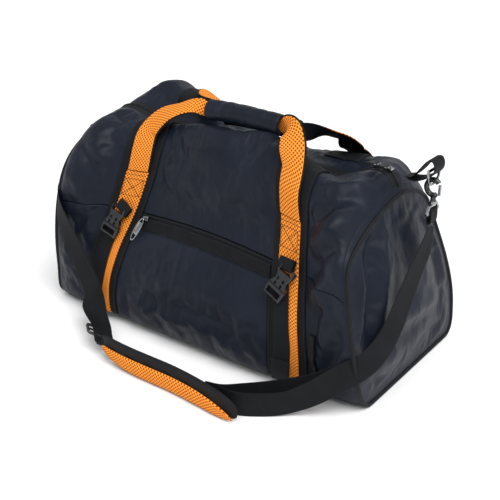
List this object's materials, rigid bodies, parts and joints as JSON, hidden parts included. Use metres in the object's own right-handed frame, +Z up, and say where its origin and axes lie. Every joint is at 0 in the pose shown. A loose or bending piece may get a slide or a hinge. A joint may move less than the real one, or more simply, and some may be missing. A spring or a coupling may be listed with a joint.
{
  "type": "duffel bag",
  "caption": "Soft zip-top sports holdall with mesh-faced carrying handles, buckled front straps, front zip pocket and a clip-on padded shoulder strap.",
  "frame": {"origin": "middle of the base, on the surface the bag stands on", "axes": "+X along the bag towards its right end, +Y towards its back, +Z up; the zipped pocket faces -Y"},
  "size_m": [0.652, 0.4272, 0.3686],
  "materials": {
    "nylon": "coated woven nylon, softly shiny",
    "webbing": "matte ribbed webbing",
    "spacer_mesh": "orange spacer mesh with small round cells",
    "trim": "black binding tape and zip tape",
    "black_plastic": "moulded, slightly glossy",
    "plated_steel": "bright plated"
  },
  "bodies": {
    "holdall": {"base_panel": "nylon", "front_lower_panel": "nylon", "front_upper_panel": "nylon", "back_upper_panel": "nylon", "back_lower_panel": "nylon", "base_board": "trim", "main_zip_front": "trim", "main_zip_back": "trim", "pocket_panel": "nylon", "pocket_zip": "webbing", "flag_tag": "trim", "end_panel_left": "nylon", "piping_left": "trim", "band_left_front": "webbing", "band_left_back": "webbing", "mesh_strap_left": "spacer_mesh", "buckle_female_left": "black_plastic", "buckle_loop_left": "webbing", "lower_strap_left": "webbing", "end_tab_left": "webbing", "swivel_left": "plated_steel", "strap_end_left": "webbing", "end_panel_right": "nylon", "piping_right": "trim", "band_right_front": "webbing", "band_right_back": "webbing", "mesh_strap_right": "spacer_mesh", "buckle_female_right": "black_plastic", "buckle_loop_right": "webbing", "lower_strap_right": "webbing", "end_tab_right": "webbing", "swivel_right": "plated_steel", "strap_end_right": "webbing", "shoulder_strap_left": "webbing", "shoulder_strap_right": "webbing", "shoulder_strap_tail": "webbing", "pad_backing": "trim", "pad_mesh": "spacer_mesh", "strap_adjuster": "black_plastic"},
    "front_handle": {"front_handle_webbing": "webbing", "front_handle_mesh": "spacer_mesh", "front_grip": "nylon"},
    "back_handle": {"back_handle_webbing": "webbing", "back_handle_mesh": "spacer_mesh", "back_grip": "nylon"},
    "top_slider_a": {"main_slider_a": "plated_steel"},
    "top_pull_a": {"main_pull_a": "trim"},
    "top_slider_b": {"main_slider_b": "plated_steel"},
    "top_pull_b": {"main_pull_b": "trim"},
    "front_slider": {"pocket_slider": "plated_steel"},
    "front_pull": {"pocket_pull": "plated_steel"},
    "prong_left": {"buckle_male_left": "black_plastic"},
    "ring_left": {"d_ring_left": "plated_steel"},
    "hook_left": {"snap_hook_left": "black_plastic"},
    "gate_left": {"hook_gate_left": "plated_steel"},
    "prong_right": {"buckle_male_right": "black_plastic"},
    "ring_right": {"d_ring_right": "plated_steel"},
    "hook_right": {"snap_hook_right": "black_plastic"},
    "gate_right": {"hook_gate_right": "plated_steel"}
  },
  "joints": [
    {"name": "front_handle_hinge", "type": "hinge", "parent": "holdall", "child": "front_handle", "pos_m": [0.00165, -0.1033, 0.2454], "axis": [0.9993, -0.0363, -0.0027], "range_deg": [0, 105]},
    {"name": "back_handle_hinge", "type": "hinge", "parent": "holdall", "child": "back_handle", "pos_m": [0.00525, 0.1018, 0.2956], "axis": [-0.9931, 0.0301, 0.1133], "range_deg": [0, 100]},
    {"name": "top_slider_a_run", "type": "slide", "parent": "holdall", "child": "top_slider_a", "axis": [-1, 0, 0], "range_m": [0, 0.37]},
    {"name": "top_slider_b_run", "type": "slide", "parent": "holdall", "child": "top_slider_b", "axis": [-1, 0, 0], "range_m": [0, 0.003]},
    {"name": "top_pull_a_hinge", "type": "hinge", "parent": "top_slider_a", "child": "top_pull_a", "pos_m": [0.22328, -0.00306, 0.31083], "axis": [-1, 0, 0], "range_deg": [0, 145]},
    {"name": "top_pull_b_hinge", "type": "hinge", "parent": "top_slider_b", "child": "top_pull_b", "pos_m": [0.23963, -0.00293, 0.30967], "axis": [-1, 0, 0], "range_deg": [0, 145]},
    {"name": "front_slider_run", "type": "slide", "parent": "holdall", "child": "front_slider", "axis": [0.9959, -0.0896, 0.012], "range_m": [0, 0.15]},
    {"name": "front_pull_hinge", "type": "hinge", "parent": "front_slider", "child": "front_pull", "pos_m": [-0.11578, -0.11865, 0.18063], "axis": [-0.9945, 0.0671, 0.0806], "range_deg": [0, 100]},
    {"name": "prong_left_release", "type": "slide", "parent": "holdall", "child": "prong_left", "axis": [-0.2526, -0.408, -0.8774], "range_m": [0, 0.026]},
    {"name": "ring_left_swing", "type": "hinge", "parent": "holdall", "child": "ring_left", "pos_m": [-0.31219, 0, 0.25821], "axis": [0, 1, 0], "range_deg": [0, 5]},
    {"name": "hook_left_swivel", "type": "hinge", "parent": "holdall", "child": "hook_left", "pos_m": [-0.31419, 0, 0.21221], "axis": [0, 0, 1], "range_deg": [-9, 9]},
    {"name": "gate_left_press", "type": "hinge", "parent": "hook_left", "child": "gate_left", "pos_m": [-0.32279, 0, 0.22181], "axis": [0, 1, 0], "range_deg": [0, 22], "stiffness_Nm_per_rad": 0.02, "springref_deg": -17.19},
    {"name": "prong_right_release", "type": "slide", "parent": "holdall", "child": "prong_right", "axis": [-0.3656, -0.3456, -0.8642], "range_m": [0, 0.026]},
    {"name": "ring_right_swing", "type": "hinge", "parent": "holdall", "child": "ring_right", "pos_m": [0.308, 0, 0.319], "axis": [0, -1, 0], "range_deg": [0, 5]},
    {"name": "hook_right_swivel", "type": "hinge", "parent": "holdall", "child": "hook_right", "pos_m": [0.31, 0, 0.273], "axis": [0, 0, 1], "range_deg": [-9, 9]},
    {"name": "gate_right_press", "type": "hinge", "parent": "hook_right", "child": "gate_right", "pos_m": [0.3186, 0, 0.2826], "axis": [0, -1, 0], "range_deg": [0, 22], "stiffness_Nm_per_rad": 0.02, "springref_deg": -17.19}
  ]
}
